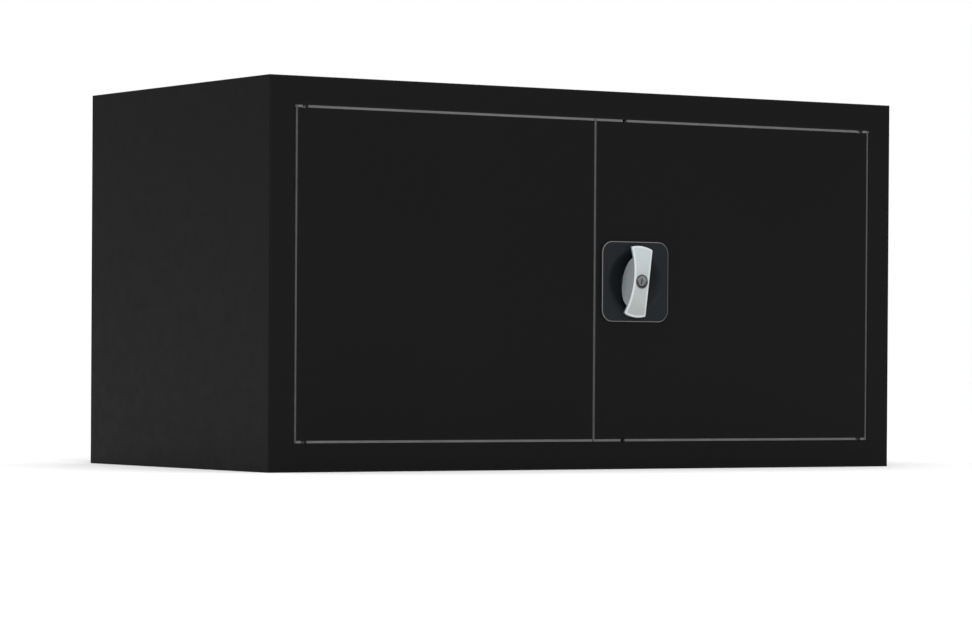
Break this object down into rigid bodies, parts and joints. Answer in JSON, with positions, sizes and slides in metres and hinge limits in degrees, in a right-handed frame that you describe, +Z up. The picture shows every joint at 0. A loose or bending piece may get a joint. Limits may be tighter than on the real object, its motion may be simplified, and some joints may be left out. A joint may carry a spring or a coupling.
{
  "type": "locker cabinet",
  "caption": "Low wide black steel top cabinet with flush hinged doors and an inner shelf; a rotary handle in a square finger-bowl plate works lock rods and a latch lever.",
  "frame": {"origin": "centre of the carcass's base, on the surface it stands on", "axes": "+Z up, the doors and the handle face -Y, left and right as seen from the front are -X and +X"},
  "size_m": [0.98, 0.5188, 0.5],
  "materials": {
    "black_paint": "fine-textured satin powder coat",
    "zinc_steel": "zinc-plated steel",
    "handle_grey": "satin silver-grey lacquer on die-cast zinc",
    "rosette_black": "satin moulded nylon",
    "chrome": "polished nickel plate",
    "seal_grey": "matt grey edge seal",
    "nylon_black": "black nylon",
    "buffer_rubber": "black rubber",
    "lock_steel": "bright turned steel"
  },
  "bodies": {
    "carcass": {"left_side_panel": "black_paint", "right_side_panel": "black_paint", "top_panel": "black_paint", "bottom_panel": "black_paint", "back_panel": "black_paint", "back_rivets": "zinc_steel", "left_front_upright": "black_paint", "left_rear_upright": "black_paint", "right_front_upright": "black_paint", "right_rear_upright": "black_paint", "shelf": "black_paint", "shelf_clips": "zinc_steel", "left_upper_hinge_bush": "nylon_black", "left_lower_hinge_bush": "nylon_black", "right_upper_hinge_bush": "nylon_black", "right_lower_hinge_bush": "nylon_black", "upper_rod_keeper": "nylon_black", "lower_rod_keeper": "nylon_black", "door_buffers": "buffer_rubber", "top_seal": "seal_grey"},
    "left_door": {"left_door_panel": "black_paint", "left_door_stiffener": "black_paint", "left_upper_hinge_pin": "lock_steel", "left_lower_hinge_pin": "lock_steel", "left_hinge_brackets": "zinc_steel", "left_door_seal": "seal_grey", "latch_keeper": "zinc_steel"},
    "right_door": {"right_door_panel": "black_paint", "right_door_stiffener": "black_paint", "right_upper_hinge_pin": "lock_steel", "right_lower_hinge_pin": "lock_steel", "right_hinge_brackets": "zinc_steel", "right_door_seal": "seal_grey", "rosette": "rosette_black", "rosette_nuts": "zinc_steel", "lock_case": "zinc_steel", "case_screws": "zinc_steel", "rod_guides": "zinc_steel"},
    "handle": {"handle_grip": "handle_grey", "handle_hub": "nylon_black", "lock_cylinder": "chrome", "spindle": "lock_steel", "drive_pinion": "lock_steel", "thrust_washer": "lock_steel", "latch_lever": "zinc_steel", "lever_washer": "zinc_steel", "lever_screw": "zinc_steel"},
    "key": {"key_plug": "chrome"},
    "bolt": {"lock_bolt": "lock_steel"},
    "upper_bar": {"upper_rack": "zinc_steel", "upper_rod": "lock_steel"},
    "lower_bar": {"lower_rack": "zinc_steel", "lower_rod": "lock_steel"}
  },
  "joints": [
    {"name": "left_door_hinge", "type": "hinge", "parent": "carcass", "child": "left_door", "pos_m": [-0.4387, -0.2445, 0.25], "axis": [0, 0, -1], "range_deg": [0, 110]},
    {"name": "right_door_hinge", "type": "hinge", "parent": "carcass", "child": "right_door", "pos_m": [0.4387, -0.2445, 0.25], "axis": [0, 0, 1], "range_deg": [0, 110]},
    {"name": "handle_turn", "type": "hinge", "parent": "right_door", "child": "handle", "pos_m": [0.0632, -0.25, 0.2487], "axis": [0, 1, 0], "range_deg": [0, 90]},
    {"name": "key_turn", "type": "hinge", "parent": "handle", "child": "key", "pos_m": [0.0632, -0.25, 0.2487], "axis": [0, 1, 0], "range_deg": [0, 90]},
    {"name": "bolt_slide", "type": "slide", "parent": "handle", "child": "bolt", "axis": [0.1219, 0, 0.9925], "range_m": [0, 0.003]},
    {"name": "upper_rod_slide", "type": "slide", "parent": "right_door", "child": "upper_bar", "axis": [0, 0, 1], "range_m": [0, 0.01414]},
    {"name": "lower_rod_slide", "type": "slide", "parent": "right_door", "child": "lower_bar", "axis": [0, 0, -1], "range_m": [0, 0.01414]}
  ],
  "couplings": [
    {"joint": "bolt_slide", "follows": "key_turn", "m_per_rad": 0.0019099},
    {"joint": "upper_rod_slide", "follows": "handle_turn", "m_per_rad": 0.009},
    {"joint": "lower_rod_slide", "follows": "handle_turn", "m_per_rad": 0.009}
  ]
}
